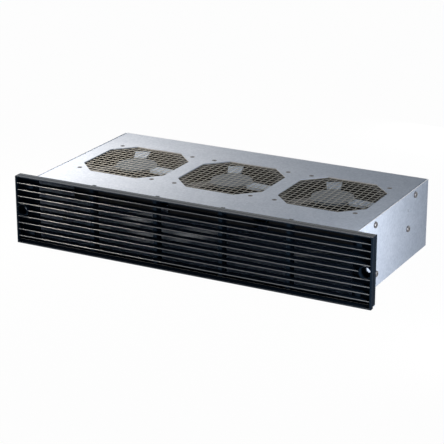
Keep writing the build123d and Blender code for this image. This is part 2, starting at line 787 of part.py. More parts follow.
# Fuse drawer: cap flush in the flange, open tray behind it with the fuse lying across
drawer_inner_y = inlet_face_y - drawer_cap - drawer_length
fuse_y = drawer_inner_y + fuse_inset
fuse_z = drawer_z - drawer_height / 2 + drawer_floor + fuse_r + running_gap
with BuildPart() as fuse_drawer:
    with BuildSketch(facing_front(inlet_face_y)):
        with Locations((inlet_x, drawer_z)):
            Rectangle(drawer_width + 2 * drawer_cap_margin, drawer_height + 2 * drawer_cap_margin)
    extrude(amount=drawer_cap)
    with BuildSketch(facing_front(inlet_face_y - drawer_cap)):
        with Locations((inlet_x, drawer_z)):
            Rectangle(drawer_width, drawer_height)
    extrude(amount=drawer_length)
    with BuildSketch(Plane.XY.offset(drawer_z + drawer_height / 2)):
        with Locations((inlet_x, fuse_y)):
            Rectangle(fuse_length + 2 * fuse_gap, 2 * (fuse_r + fuse_gap))
    extrude(amount=drawer_floor - drawer_height, mode=Mode.SUBTRACT)
    with BuildSketch(facing_front(inlet_face_y)):
        with Locations((inlet_x, drawer_z + drawer_height / 2)):
            Rectangle(drawer_grip, 2 * drawer_cap_margin)
    extrude(amount=drawer_cap, mode=Mode.SUBTRACT)
save(fuse_drawer.part, "fuse_drawer")

with BuildPart() as fuse_link:
    with BuildSketch(Plane.YZ.offset(inlet_x - fuse_length / 2)):
        with Locations((fuse_y, fuse_z)):
            RegularPolygon(fuse_body_r, head_sides)
    extrude(amount=fuse_length)
    for x in (inlet_x - fuse_length / 2, inlet_x + fuse_length / 2 - fuse_cap_length):
        with BuildSketch(Plane.YZ.offset(x)):
            with Locations((fuse_y, fuse_z)):
                RegularPolygon(fuse_r, head_sides)
        extrude(amount=fuse_cap_length)
save(fuse_link.part, "fuse_link")


# Supply cores: one from each inlet tab to the terminal block
cores = []
for way, z in pin_z.items():
    start_x = inlet_x + way * pin_spacing / 2
    end_x = block_x + way * block_way_pitch
    turn_y = (tab_y + block_rear_y) / 2 + way * core_stagger
    route = [(start_x, tab_y, z), (start_x, turn_y, z), (end_x, turn_y, z), (end_x, block_rear_y, z)]
    cores.append(tube(route, core_r, core_bend))
save(Compound(children=cores), "supply_cores")
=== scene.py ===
import math

import bpy
from bpy.props import FloatProperty, FloatVectorProperty, IntProperty, PointerProperty
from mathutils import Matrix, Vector


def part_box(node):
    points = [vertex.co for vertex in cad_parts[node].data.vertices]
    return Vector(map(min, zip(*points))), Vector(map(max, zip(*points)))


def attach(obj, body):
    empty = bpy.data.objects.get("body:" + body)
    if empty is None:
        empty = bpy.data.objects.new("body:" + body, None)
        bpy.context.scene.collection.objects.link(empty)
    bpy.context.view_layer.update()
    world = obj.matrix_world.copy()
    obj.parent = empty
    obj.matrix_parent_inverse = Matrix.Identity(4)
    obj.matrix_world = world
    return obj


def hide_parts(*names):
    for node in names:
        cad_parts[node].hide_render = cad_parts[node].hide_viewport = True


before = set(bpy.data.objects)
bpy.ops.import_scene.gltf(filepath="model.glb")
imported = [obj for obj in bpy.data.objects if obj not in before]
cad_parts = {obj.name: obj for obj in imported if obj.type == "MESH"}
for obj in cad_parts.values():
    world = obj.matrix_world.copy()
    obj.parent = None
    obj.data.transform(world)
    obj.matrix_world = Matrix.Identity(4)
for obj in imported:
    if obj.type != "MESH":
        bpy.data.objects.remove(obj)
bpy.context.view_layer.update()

bl_info = {
    "name": "Rack fan tray",
    "version": (1, 0, 0),
    "blender": (4, 5, 0),
    "location": "View3D > Sidebar > Fan tray",
    "description": "Dresses the packed fan tray with finishes, detailed pieces and a plain studio",
    "category": "Object",
}

MM = 0.001
SIDES = ("left", "centre", "right")
TRAY = "tray"

# Edges sharper than these angles stay sharp when a surface is smoothed.
SHARP = math.radians(40.0)
WIRE_SHARP = math.radians(60.0)
TUBE_SHARP = math.radians(70.0)
# Corners this close are welded, and faces this flat are merged.
WELD = 0.002 * MM
FLAT = math.radians(0.5)
# A tool stands this far out of what it cuts, or is this long where it cuts right through.
OVERCUT = 1.0 * MM
THROUGH = 40.0 * MM
# Turn from the cross in one screw head to the next.
SCREW_TURN = math.radians(37.0)
# Depths of a finish's relief.
FINE = 0.1 * MM
COARSE = 0.2 * MM
# A face is square to an axis where its normal reaches this far along it.
SQUARE = 0.99
# Turns of a cylinder along an axis, and of a screw whose head faces a side.
AXIS_TURN = {"X": (0.0, math.pi / 2, 0.0), "Y": (math.pi / 2, 0.0, 0.0), "Z": (0.0, 0.0, 0.0)}
FACING = {
    "+X": (0.0, math.pi / 2, 0.0),
    "-X": (0.0, -math.pi / 2, 0.0),
    "+Y": (-math.pi / 2, 0.0, 0.0),
    "+Z": (0.0, 0.0, 0.0),
}
# Light and dark tones of the lesser finishes.
TONES = {
    # Slat noses and upper front edges: this lighter grey is a painted highlight.
    "noses with painted highlight": ((0.19, 0.20, 0.21), (0.16, 0.17, 0.18)),
    "zinc plating": ((0.22, 0.22, 0.23), (0.15, 0.15, 0.16)),
    "dark plating": ((0.07, 0.07, 0.08), (0.04, 0.04, 0.045)),
    "laminations": ((0.20, 0.17, 0.14), (0.12, 0.10, 0.09)),
    "ground steel": ((0.70, 0.70, 0.71), (0.60, 0.60, 0.61)),
    "lead sheath": ((0.03, 0.03, 0.033), (0.02, 0.02, 0.022)),
    "ivory block": ((0.72, 0.69, 0.60), (0.66, 0.63, 0.54)),
    "inlet moulding": ((0.020, 0.020, 0.022), (0.014, 0.014, 0.015)),
    "plated pins": ((0.74, 0.70, 0.58), (0.64, 0.60, 0.48)),
    "fuse glass": ((0.80, 0.84, 0.84), (0.74, 0.78, 0.78)),
}


def colour_prop(name, description, default):
    """A linear colour that the sidebar can change."""
    return FloatVectorProperty(
        name=name, description=description, subtype="COLOR", size=3, min=0.0, max=1.0, default=default
    )


def length_prop(name, description, millimetres):
    """A length, given in millimetres."""
    return FloatProperty(
        name=name, description=description, default=millimetres * MM, min=0.0, precision=5, unit="LENGTH"
    )


def place_prop(name, description, *millimetres):
    """A place in the frame, given in millimetres."""
    return FloatVectorProperty(
        name=name, description=description, subtype="TRANSLATION", unit="LENGTH", size=3, precision=5,
        default=tuple(part * MM for part in millimetres),
    )


def power_prop(name, description, watts):
    """A lamp's power."""
    return FloatProperty(name=name, description=description, default=watts, min=0.0, unit="POWER")


class FinishSettings(bpy.types.PropertyGroup):
    """Colours of the tray's finishes."""

    zinc_light: colour_prop("Zinc, light", "Bright crystals of the galvanised sheet", (0.60, 0.67, 0.78))
    zinc_dark: colour_prop("Zinc, dark", "Dull crystals of the galvanised sheet", (0.41, 0.48, 0.585))
    cut_edge: colour_prop("Cut edge", "Bare steel where the sheet was cut", (0.80, 0.82, 0.85))
    louvre_black: colour_prop("Louvre", "Glossy black of the front moulding", (0.005, 0.010, 0.018))
    louvre_gloss: colour_prop("Louvre gloss", "Tint of the front moulding's gloss", (0.3, 0.55, 0.9))
    mesh_steel: colour_prop("Mesh", "Bars of the fan guards", (0.28, 0.28, 0.255))
    casting: colour_prop("Casting", "Bare struts of the fan frames", (0.44, 0.53, 0.66))
    plate_grey: colour_prop("Motor plate", "Dull plates over the fan motors", (0.075, 0.10, 0.13))
    duct_black: colour_prop("Duct", "Painted walls of the fan frames", (0.016, 0.017, 0.019))
    blade_black: colour_prop("Blades", "Moulded fan blades", (0.012, 0.013, 0.015))


class LouvreSettings(bpy.types.PropertyGroup):
    """Sizes of the front moulding."""

    openings: IntProperty(
        name="Openings", description="Gaps between frame and slats, from bottom to top", default=10, min=2
    )
    frame_side: length_prop("Frame side", "Width of the frame's uprights", 2.3)
    frame_edge: length_prop("Frame edge", "Thickness of the frame's top and bottom", 1.5)
    frame_step: length_prop("Frame step", "How much higher the rear half of the frame ends", 3.0)
    frame_depth: length_prop("Frame depth", "Depth of the front half of the frame", 6.0)
    slat_depth: length_prop("Slat depth", "Depth of a slat", 6.4)
    slat_rise: length_prop("Slat rise", "How much a slat climbs to the rear", 1.4)
    slat_thickness: length_prop("Slat thickness", "Thickness of a slat", 1.4)
    slat_setback: length_prop("Slat setback", "Slat noses behind the frame's front", 0.3)
    ribs: IntProperty(name="Ribs", description="Upright ribs behind the slats", default=4, min=1)
    rib_spacing: length_prop("Rib spacing", "Distance between ribs", 88.9)
    rib_width: length_prop("Rib width", "Width of a rib", 5.0)
    tail_low: length_prop("Rib tail", "Rib tails inside the panel's height", 3.2)
    hook: length_prop("Hook", "Reach of the hooks over the top sheet", 3.0)
    hook_gap: length_prop("Hook gap", "Room between a hook and the top sheet", 0.02)
    ear_back_x: length_prop("Ear back", "Where the closed back of an ear begins", 213.0)
    back: length_prop("Back", "Thickness of the closed back", 2.0)
    well_x: length_prop("Well place", "Rack screws from the middle", 232.55)
    well_r: length_prop("Well radius", "Inner radius of a screw well", 7.0)
    well_wall: length_prop("Well wall", "Wall of a screw well", 1.2)
    post: length_prop("Post", "Width of the posts that take the rear screws", 6.4)
    hole_r: length_prop("Rack hole", "Radius of a rack screw hole", 3.5)
    edge: length_prop("Edge", "Rounding of the moulded edges", 0.3)


class ScrewSettings(bpy.types.PropertyGroup):
    """Sizes of the screws."""

    head_r: length_prop("Head radius", "Pan heads of the case screws", 4.0)
    side_head: length_prop("Side head", "Height of the heads in the sides", 2.5)
    rear_head: length_prop("Rear head", "Height of the heads in the rear", 2.2)
    shank_r: length_prop("Shank radius", "Shanks of the case screws", 2.0)
    side_length: length_prop("Side length", "Length of the shanks in the sides", 6.0)
    louvre_head_r: length_prop("Louvre head radius", "Heads of the screws behind the louvre", 2.55)
    louvre_head: length_prop("Louvre head", "Height of those heads, and radius of their shanks", 1.5)
    fan_head_r: length_prop("Fan head radius", "Countersunk heads of the fan screws", 3.1)
    fan_shank_r: length_prop("Fan shank radius", "Shanks of the fan screws", 2.05)
    fan_shank_drop: length_prop("Fan shank drop", "Where a fan screw's shank begins under its face", 0.6)
    cross_depth: length_prop("Cross depth", "Depth of the crosses in flush heads", 0.8)


class FanSettings(bpy.types.PropertyGroup):
    """Sizes of the guards and fans."""

    guard_bars: IntProperty(name="Bars", description="Wires in each direction", default=14, min=2)
    guard_pitch: length_prop("Bar pitch", "Distance between wires", 8.0)
    guard_rim: length_prop("Rim", "Width of the guard's rim", 3.0)
    guard_corner: length_prop("Corner", "Cut corner of the guard", 27.2)
    wire_width: length_prop("Wire width", "Width of a rolled wire", 1.1)
    wire_height: length_prop("Wire height", "Height of a rolled wire", 0.5)
    duct_wall: length_prop("Duct wall", "Thinnest wall round the blades", 2.75)
    duct_band: length_prop("Duct band", "Black band between the duct and the bare struts", 2.0)
    plate_r: length_prop("Motor plate", "Radius of the plate over a fan motor", 29.0)


class EdgeSettings(bpy.types.PropertyGroup):
    """Roundings of the edges."""

    sheet: length_prop("Sheet", "Edges of the sheet metal", 0.2)
    casting: length_prop("Casting", "Edges of the fan frames", 0.3)
    blade: length_prop("Blades", "Edges of the impellers", 0.25)
    block: length_prop("Terminal block", "Edges of the terminal block", 0.4)
    inlet: length_prop("Inlet", "Edges of the inlet and its drawer", 0.3)
    pin: length_prop("Pins", "Edges of the pins", 0.4)
    fuse: length_prop("Fuse", "Edges of the fuse", 0.15)


class StageSettings(bpy.types.PropertyGroup):
    """Camera, lamps and floor."""

    lens: FloatProperty(name="Lens", description="Focal length", default=136.4, min=10.0, unit="CAMERA")
    camera_place: place_prop("Camera", "Where the camera stands", 917.8, -1756.8, 731.0)
    camera_target: place_prop("Camera target", "What the camera looks at", -29.11, 33.5, 15.15)
    floor_colour: colour_prop("Floor", "Pale floor under the tray", (0.50, 0.51, 0.53))
    key_watts: power_prop("Key lamp", "Lamp near the front left corner", 2.45)
    fill_watts: power_prop("Fill lamp", "Lamp beside the front right corner", 0.95)
    rear_watts: power_prop("Rear lamp", "Low lamp behind the tray", 1.0)
    ambient: FloatProperty(
        name="Ambient", description="Strength of the light from all round", default=0.095, min=0.0
    )
    ambient_colour: colour_prop("Ambient colour", "Colour of the light from all round", (0.50, 0.74, 1.0))


class TraySettings(bpy.types.PropertyGroup):
    """All the settings of the tray."""

    finish: PointerProperty(name="Finishes", description="Colours of the finishes", type=FinishSettings)
    louvre: PointerProperty(name="Louvre", description="Sizes of the front moulding", type=LouvreSettings)
    screw: PointerProperty(name="Screws", description="Sizes of the screws", type=ScrewSettings)
    fan: PointerProperty(name="Fans", description="Sizes of the guards and fans", type=FanSettings)
    edge: PointerProperty(name="Edges", description="Roundings of the edges", type=EdgeSettings)
    stage: PointerProperty(name="Stage", description="Camera, lamps and floor", type=StageSettings)


def settings():
    """The tray's settings in the open scene."""
    return bpy.context.scene.fan_tray


def deselect():
    """Leaves nothing selected, so an operator acts only on what comes next."""
    if bpy.context.mode != "OBJECT":
        bpy.ops.object.mode_set(mode="OBJECT")
    bpy.ops.object.select_all(action="DESELECT")


def select_only(piece):
    """Makes one piece the selected and active one."""
    deselect()
    piece.select_set(True)
    bpy.context.view_layer.objects.active = piece


def node(name):
    """The CAD node of that name."""
    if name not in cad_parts:
        raise RuntimeError(f"the frame has no node {name}")
    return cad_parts[name]


def corners(name):
    """Lowest and highest corner of a CAD node's box."""
    low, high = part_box(name)
    return Vector(low), Vector(high)


def give(piece, *materials):
    """Leaves a piece with these materials only."""
    piece.data.materials.clear()
    for material in materials:
        piece.data.materials.append(material)


def dress(material, *names):
    """Gives CAD nodes a finish in place of their plain one."""
    for name in names:
        give(node(name), material)


class Shader:
    """A material under construction: its Principled BSDF and short ways to add and join nodes."""

    def __init__(self, name):
        self.material = bpy.data.materials.new(name)
        self.material.use_nodes = True
        self.tree = self.material.node_tree
        self.surface = self.tree.nodes["Principled BSDF"]

    def add(self, kind, **values):
        return add_node(self.tree, kind, **values)

    def join(self, start, end):
        self.tree.links.new(start, end)

    def group(self, tree, **values):
        placed = self.add("ShaderNodeGroup")
        placed.node_tree = tree
        for key, value in values.items():
            placed.inputs[key.replace("_", " ").capitalize()].default_value = value
        return placed

    def set(self, **values):
        for key, value in values.items():
            label = key.replace("_", " ").title().replace("Ior", "IOR")
            self.surface.inputs[label].default_value = value
        return self

    def bump(self, height, strength, distance):
        bump = self.add("ShaderNodeBump", Strength=strength, Distance=distance)
        self.join(height, bump.inputs["Height"])
        self.join(bump.outputs["Normal"], self.surface.inputs["Normal"])

    def grain(self, light, dark, scale, rough, relief):
        """Adds the speckle with its roughness and relief, and returns its colour."""
        grain = self.group(
            bpy.data.node_groups.get("Speckle") or speckle_group(),
            light=rgba(light), dark=rgba(dark), scale=scale, roughness_low=rough[0], roughness_high=rough[1],
        )
        self.join(grain.outputs["Roughness"], self.surface.inputs["Roughness"])
        self.bump(grain.outputs["Height"], *relief)
        return grain.outputs["Colour"]


def add_node(tree, kind, **values):
    """A node with its properties, or its inputs where the name isn't a property."""
    placed = tree.nodes.new(kind)
    for key, value in values.items():
        if hasattr(placed, key):
            setattr(placed, key, value)
        else:
            placed.inputs[key.replace("_", " ").title()].default_value = value
    return placed


def math_node(tree, operation, *inputs):
    """The result of a Math node on sockets or plain values."""
    placed = add_node(tree, "ShaderNodeMath", operation=operation)
    for socket, value in zip(placed.inputs, inputs):
        if isinstance(value, float):
            socket.default_value = value
        else:
            tree.links.new(value, socket)
    return placed.outputs["Value"]


def rgba(colour):
    """A colour with full cover."""
    return (*colour, 1.0)


def shade(colour, factor):
    """A darker tone of a colour."""
    return tuple(part * factor for part in colour)


def effect_group(name, inputs, outputs):
    """An empty shader node group with its sockets: name and kind, and a default for each input."""
    tree = bpy.data.node_groups.new(name, "ShaderNodeTree")
    for label, kind, default in inputs:
        socket = tree.interface.new_socket(label, in_out="INPUT", socket_type=f"NodeSocket{kind}")
        socket.default_value = default
    for label, kind in outputs:
        tree.interface.new_socket(label, in_out="OUTPUT", socket_type=f"NodeSocket{kind}")
    return tree, tree.nodes.new("NodeGroupInput"), tree.nodes.new("NodeGroupOutput")


def speckle_group():
    """Crystals and clouds of a surface: a colour between two tones, its roughness and height."""
    tree, given, put = effect_group(
        "Speckle",
        [
            ("Light", "Color", (0.8, 0.8, 0.8, 1.0)),
            ("Dark", "Color", (0.6, 0.6, 0.6, 1.0)),
            ("Scale", "Float", 300.0),
            ("Roughness low", "Float", 0.35),
            ("Roughness high", "Float", 0.5),
        ],
        [("Colour", "Color"), ("Roughness", "Float"), ("Height", "Float")],
    )
    crystal_share, cloud_share = 0.55, 0.45
    link = tree.links.new
    place = tree.nodes.new("ShaderNodeTexCoord")
    crystals = add_node(tree, "ShaderNodeTexVoronoi")
    link(place.outputs["Object"], crystals.inputs["Vector"])
    link(given.outputs["Scale"], crystals.inputs["Scale"])
    grey = tree.nodes.new("ShaderNodeRGBToBW")
    link(crystals.outputs["Color"], grey.inputs["Color"])
    clouds = add_node(tree, "ShaderNodeTexNoise", Scale=38.0, Detail=4.0)
    link(place.outputs["Object"], clouds.inputs["Vector"])
    cloudy = math_node(tree, "MULTIPLY", clouds.outputs["Fac"], cloud_share)
    blend = math_node(tree, "MULTIPLY_ADD", grey.outputs["Val"], crystal_share, cloudy)
    tone = add_node(tree, "ShaderNodeMix", data_type="RGBA")
    link(blend, tone.inputs["Factor"])
    link(given.outputs["Dark"], tone.inputs[6])
    link(given.outputs["Light"], tone.inputs[7])
    link(tone.outputs[2], put.inputs["Colour"])
    rough = tree.nodes.new("ShaderNodeMapRange")
    link(blend, rough.inputs["Value"])
    link(given.outputs["Roughness high"], rough.inputs["To Min"])
    link(given.outputs["Roughness low"], rough.inputs["To Max"])
    link(rough.outputs["Result"], put.inputs["Roughness"])
    link(blend, put.inputs["Height"])
    return tree


def speckled(name, light, dark, scale, rough, relief, **values):
    """A finish made of the speckle. The dark tone is a colour or a share of the light one."""
    shader = Shader(name).set(**values)
    if isinstance(dark, float):
        dark = shade(light, dark)
    colour = shader.grain(light, dark, scale, rough, relief)
    shader.join(colour, shader.surface.inputs["Base Color"])
    return shader.material


def toned(name, *look, **values):
    """A lesser finish, with its tones from the table."""
    return speckled(name, *TONES[name], *look, **values)


def motor_group():
    """Masks of the motor plates and of the front-left quarter of each fan, round its axis."""
    tree, given, put = effect_group(
        "Motor plate",
        [("Pitch", "Float", 0.1), ("Depth", "Float", 0.0), ("Radius", "Float", 0.02)],
        [("Plate", "Float"), ("Front left quarter", "Float")],
    )
    link = tree.links.new
    place = tree.nodes.new("ShaderNodeTexCoord")
    apart = tree.nodes.new("ShaderNodeSeparateXYZ")
    link(place.outputs["Object"], apart.inputs["Vector"])
    # Offset from the axis of the nearest fan.
    cells = math_node(tree, "DIVIDE", apart.outputs["X"], given.outputs["Pitch"])
    offset = math_node(tree, "SUBTRACT", cells, math_node(tree, "ROUND", cells))
    across = math_node(tree, "MULTIPLY", offset, given.outputs["Pitch"])
    behind = math_node(tree, "SUBTRACT", apart.outputs["Y"], given.outputs["Depth"])
    flat = tree.nodes.new("ShaderNodeCombineXYZ")
    link(across, flat.inputs["X"])
    link(behind, flat.inputs["Y"])
    away = add_node(tree, "ShaderNodeVectorMath", operation="LENGTH")
    link(flat.outputs["Vector"], away.inputs[0])
    link(math_node(tree, "LESS_THAN", away.outputs["Value"], given.outputs["Radius"]), put.inputs["Plate"])
    # Front-left quarter of each fan, whose struts are given the duct's black.
    left = math_node(tree, "LESS_THAN", across, 0.0)
    front = math_node(tree, "LESS_THAN", behind, 0.0)
    link(math_node(tree, "MULTIPLY", left, front), put.inputs["Front left quarter"])
    return tree


def by_ray(tree, plain, direct):
    """One shader on most rays, and another on rays from the camera, off gloss or through glass."""
    path = tree.nodes.new("ShaderNodeLightPath")
    clear = path.outputs["Is Camera Ray"]
    for kind in ("Is Glossy Ray", "Is Transmission Ray"):
        clear = math_node(tree, "MAXIMUM", clear, path.outputs[kind])
    mixed = tree.nodes.new("ShaderNodeMixShader")
    tree.links.new(clear, mixed.inputs["Fac"])
    tree.links.new(plain, mixed.inputs[1])
    tree.links.new(direct, mixed.inputs[2])
    return mixed.outputs["Shader"]


def settle(piece, body, slot, *replaced):
    """Hands a finished piece to the frame."""
    deselect()
    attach(piece, body)
    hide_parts(*replaced)


def apply_modifier(piece, kind, **values):
    """Adds a modifier and applies it to the mesh."""
    select_only(piece)
    added = piece.modifiers.new(kind.lower(), kind)
    for key, value in values.items():
        setattr(added, key, value)
    bpy.ops.object.modifier_apply(modifier=added.name)


def smooth(piece, angle=SHARP):
    """Smooths the curved faces of a piece."""
    select_only(piece)
    bpy.ops.object.shade_smooth_by_angle(angle=angle)


def soften(piece, width, segments=2, edge_finish=-1):
    """Rounds the sharp edges of a piece and smooths its curved faces."""
    apply_modifier(
        piece, "BEVEL", width=width, segments=segments, limit_method="ANGLE", angle_limit=SHARP,
        material=edge_finish, use_clamp_overlap=True,
    )
    smooth(piece)
    apply_modifier(piece, "WEIGHTED_NORMAL", mode="FACE_AREA", weight=60, keep_sharp=True)


def fixed(name):
    """Names the object just added, with its place, turn and size applied to its mesh."""
    bpy.ops.object.transform_apply(location=True, rotation=True, scale=True)
    bpy.context.object.name = name
    return bpy.context.object


def block(name, low, high):
    """A box from its lowest to its highest corner."""
    low, high = Vector(low), Vector(high)
    deselect()
    bpy.ops.mesh.primitive_cube_add(size=1.0, location=(low + high) / 2, scale=high - low)
    return fixed(name)


def drum(name, centre, radius, depth, axis, sides=40):
    """A cylinder about its centre, along an axis of the frame."""
    deselect()
    bpy.ops.mesh.primitive_cylinder_add(
        vertices=sides, radius=radius, depth=depth, location=centre, rotation=AXIS_TURN[axis]
    )
    return fixed(name)


def cut(piece, *tools):
    """Takes the tools out of the piece."""
    for tool in tools:
        apply_modifier(piece, "BOOLEAN", operation="DIFFERENCE", solver="EXACT", object=tool)
        bpy.data.objects.remove(tool)


def join(name, pieces):
    """One object from several."""
    select_only(pieces[0])
    for piece in pieces[1:]:
        piece.select_set(True)
    bpy.ops.object.join()
    bpy.context.object.name = name
    return bpy.context.object


def repeat(piece, count, step):
    """A row of a piece, one step apart."""
    apply_modifier(
        piece, "ARRAY", count=count, use_relative_offset=False, use_constant_offset=True,
        constant_offset_displace=step,
    )


def pick(piece, kind, wanted):
    """Opens a piece in edit mode with only the wanted vertices or edges selected, by their middle."""
    select_only(piece)
    bpy.ops.object.mode_set(mode="EDIT")
    bpy.ops.mesh.select_mode(type=kind)
    bpy.ops.mesh.select_all(action="DESELECT")
    bpy.ops.object.mode_set(mode="OBJECT")
    mesh = piece.data
    if kind == "VERT":
        found = [(vertex, vertex.co) for vertex in mesh.vertices]
    else:
        found = [
            (edge, sum((mesh.vertices[index].co for index in edge.vertices), Vector()) / 2)
            for edge in mesh.edges
        ]
    for item, middle in found:
        item.select = wanted(middle)
    bpy.ops.object.mode_set(mode="EDIT")


def copy_of(name):
    """A piece with the CAD node's shape, its triangles merged into clean faces."""
    piece = bpy.data.objects.new(f"{name}_piece", node(name).data.copy())
    bpy.context.scene.collection.objects.link(piece)
    piece.data.materials.clear()
    select_only(piece)
    bpy.ops.object.mode_set(mode="EDIT")
    bpy.ops.mesh.select_all(action="SELECT")
    bpy.ops.mesh.remove_doubles(threshold=WELD)
    bpy.ops.mesh.dissolve_limited(angle_limit=FLAT)
    bpy.ops.object.mode_set(mode="OBJECT")
    return piece


def spread(name, pattern, places):
    """Copies of one pattern, each spun about its own +Z, turned and put in its place. The pattern goes."""
    copies = []
    for index, (place, turn) in enumerate(places):
        select_only(pattern)
        bpy.ops.object.duplicate()
        made = bpy.context.object
        made.rotation_euler = (0.0, 0.0, index * SCREW_TURN)
        bpy.ops.object.transform_apply(location=False, rotation=True, scale=False)
        made.rotation_euler = turn
        made.location = place
        bpy.ops.object.transform_apply(location=True, rotation=True, scale=False)
        copies.append(made)
    bpy.data.objects.remove(pattern)
    return join(name, copies)


class FANTRAY_OT_sheet_metal(bpy.types.Operator):
    """Galvanised sheet pieces with bright cut edges"""

    bl_idname = "fantray.sheet_metal"
    bl_label = "Sheet metal"

    # The axes along which the cut edges of each sheet face.
    CUT_ALONG = {
        "side_panel_left": "z",
        "side_panel_right": "z",
        "top_panel": "y",
        "base_panel": "y",
        "rear_panel": "xz",
        "wiring_rail": "y",
    }

    def execute(self, context):
        finish = settings().finish
        zinc = speckled(
            "galvanised sheet", finish.zinc_light, finish.zinc_dark, 420.0, (0.46, 0.60), (0.05, COARSE),
            metallic=0.05, specular_ior_level=0.02,
        )
        bright = speckled(
            "cut edge", finish.cut_edge, 0.8, 2000.0, (0.25, 0.4), (0.05, FINE), metallic=0.6,
        )
        for name, axes in self.CUT_ALONG.items():
            piece = copy_of(name)
            give(piece, zinc, bright)
            for face in piece.data.polygons:
                face.material_index = int(any(abs(getattr(face.normal, axis)) > SQUARE for axis in axes))
            soften(piece, settings().edge.sheet, 1, edge_finish=1)
            settle(piece, TRAY, "galvanised_steel", name)
        return {"FINISHED"}


class FANTRAY_OT_louvre(bpy.types.Operator):
    """Glossy black front moulding with its slats, ribs and screw wells"""

    bl_idname = "fantray.louvre"
    bl_label = "Louvre"

    # Share of a slat's half thickness that its nose rounds.
    NOSE_ROUND = 0.96

    def execute(self, context):
        size = settings().louvre
        low, high = corners("louvre_panel")
        ear_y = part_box("side_panel_left")[0][1]
        middle_z = (low.z + high.z) / 2
        inner_x = high.x - size.frame_side
        parts = [*self.frame(size, low, high, ear_y, inner_x)]
        slats = self.slats(size, low, high, inner_x)
        for side in (-1, 1):
            well = Vector((side * size.well_x, ear_y, middle_z))
            parts += self.ear(size, low, high, side, well, inner_x)
            room_r = size.well_r + size.well_wall / 2
            cut(slats, drum("well room", (well.x, low.y, well.z), room_r, THROUGH, "Y"))
        parts += self.ribs(size, low, high, ear_y)
        body = join("louvre_frame", parts)
        soften(body, size.edge)
        smooth(slats)
        moulding = join("louvre_moulding", [body, slats])
        self.finish(moulding, size, high.x, middle_z)
        settle(moulding, TRAY, "louvre_plastic", "louvre_panel")
        return {"FINISHED"}

    def finish(self, moulding, size, end_x, middle_z):
        """Gloss all over, but matt wells and ends, and a painted highlight: faces turned up and forward, the
        slat noses above all, get a lighter grey and a stronger gloss.
        """
        finish = settings().finish
        black = finish.louvre_black
        gloss = speckled(
            "louvre moulding", black, 0.8, 900.0, (0.10, 0.18), (0.02, FINE),
            specular_ior_level=0.2, specular_tint=rgba(finish.louvre_gloss),
        )
        matt = speckled(
            "matt moulding", black, 0.8, 900.0, (0.5, 0.6), (0.02, FINE), specular_ior_level=0.02,
        )
        # The noses' lighter grey is a painted highlight; their higher specular level is real gloss.
        nose = toned("noses with painted highlight", 900.0, (0.05, 0.08), (0.01, FINE), specular_ior_level=1.0)
        give(moulding, gloss, matt, nose)
        slack = 0.1 * MM
        for face in moulding.data.polygons:
            middle, normal = face.center, face.normal
            away = Vector((abs(middle.x) - size.well_x, middle.z - middle_z))
            end = abs(normal.x) > 0.9 and abs(middle.x) > end_x - slack
            if end or away.length < size.well_r + slack:
                face.material_index = 1
            # Faces turned up and forward get the lighter grey of a painted highlight, along with a real
            # stronger gloss.
            elif normal.y < -0.35 and normal.z > 0.35 and abs(normal.x) < 0.1:
                face.material_index = 2

    def frame(self, size, low, high, ear_y, inner_x):
        """The stepped frame: a full front half and a rear half that stands higher off the floor."""
        edge = size.frame_edge
        step_y = low.y + size.frame_depth
        floor_z = low.z + size.frame_step
        ceiling_z = high.z - edge
        front = block("front frame", low, (high.x, step_y, high.z))
        front_low = (-inner_x, low.y - OVERCUT, low.z + edge)
        cut(front, block("front room", front_low, (inner_x, step_y + OVERCUT, ceiling_z)))
        rear = block("rear frame", (low.x, step_y - edge, floor_z), (high.x, ear_y, high.z))
        rear_low = (-inner_x, low.y, floor_z + edge)
        cut(rear, block("rear room", rear_low, (inner_x, ear_y + OVERCUT, ceiling_z)))
        riser = block("riser", (low.x, step_y - edge, low.z), (high.x, step_y, floor_z + edge))
        return front, rear, riser

    def slats(self, size, low, high, inner_x):
        """Sloping slats with a rounded nose, one pitch apart."""
        pitch = (high.z - low.z - size.frame_edge) / size.openings
        nose_z = low.z + size.frame_edge / 2 + pitch
        nose_y = low.y + size.slat_setback
        tail_y = nose_y + size.slat_depth
        reach_x = inner_x + size.frame_side / 2
        half = size.slat_thickness / 2
        slats = block("slats", (-reach_x, nose_y, nose_z - half), (reach_x, tail_y, nose_z + half))
        middle_y = nose_y + size.slat_depth / 2
        pick(slats, "VERT", lambda at: at.y > middle_y)
        bpy.ops.transform.translate(value=(0.0, 0.0, size.slat_rise))
        pick(slats, "EDGE", lambda at: at.y < middle_y and abs(at.x) < half)
        bpy.ops.mesh.bevel(offset=half * self.NOSE_ROUND, segments=5, affect="EDGES")
        bpy.ops.object.mode_set(mode="OBJECT")
        repeat(slats, size.openings - 1, (0.0, 0.0, pitch))
        return slats

    def ear(self, size, low, high, side, well, inner_x):
        """Closed back of one ear with the well for a rack screw and the posts for the rear screws."""
        near, far = sorted((side * size.ear_back_x, side * inner_x))
        floor_y = well.y - size.back
        back_low = (near, floor_y, low.z + size.frame_step)
        back = block("ear back", back_low, (far, well.y, high.z - size.frame_edge))
        cut(back, drum("rack hole", well, size.hole_r, THROUGH, "Y"))
        # The tube reaches half way into the back.
        tube_front = low.y + size.slat_setback
        tube_depth = floor_y - tube_front + size.back / 2
        middle = Vector((well.x, tube_front + tube_depth / 2, well.z))
        tube = drum("well", middle, size.well_r + size.well_wall, tube_depth, "Y", 48)
        cut(tube, drum("well bore", middle, size.well_r, THROUGH, "Y", 48))
        screw_low, screw_high = corners("louvre_screws")
        head_r = settings().screw.louvre_head_r
        half = size.post / 2
        x = side * (screw_high.x - head_r)
        posts = [
            block("post", (x - half, low.y + size.frame_depth, z - half), (x + half, well.y, z + half))
            for z in (screw_low.z + head_r, screw_high.z - head_r)
        ]
        return back, tube, *posts

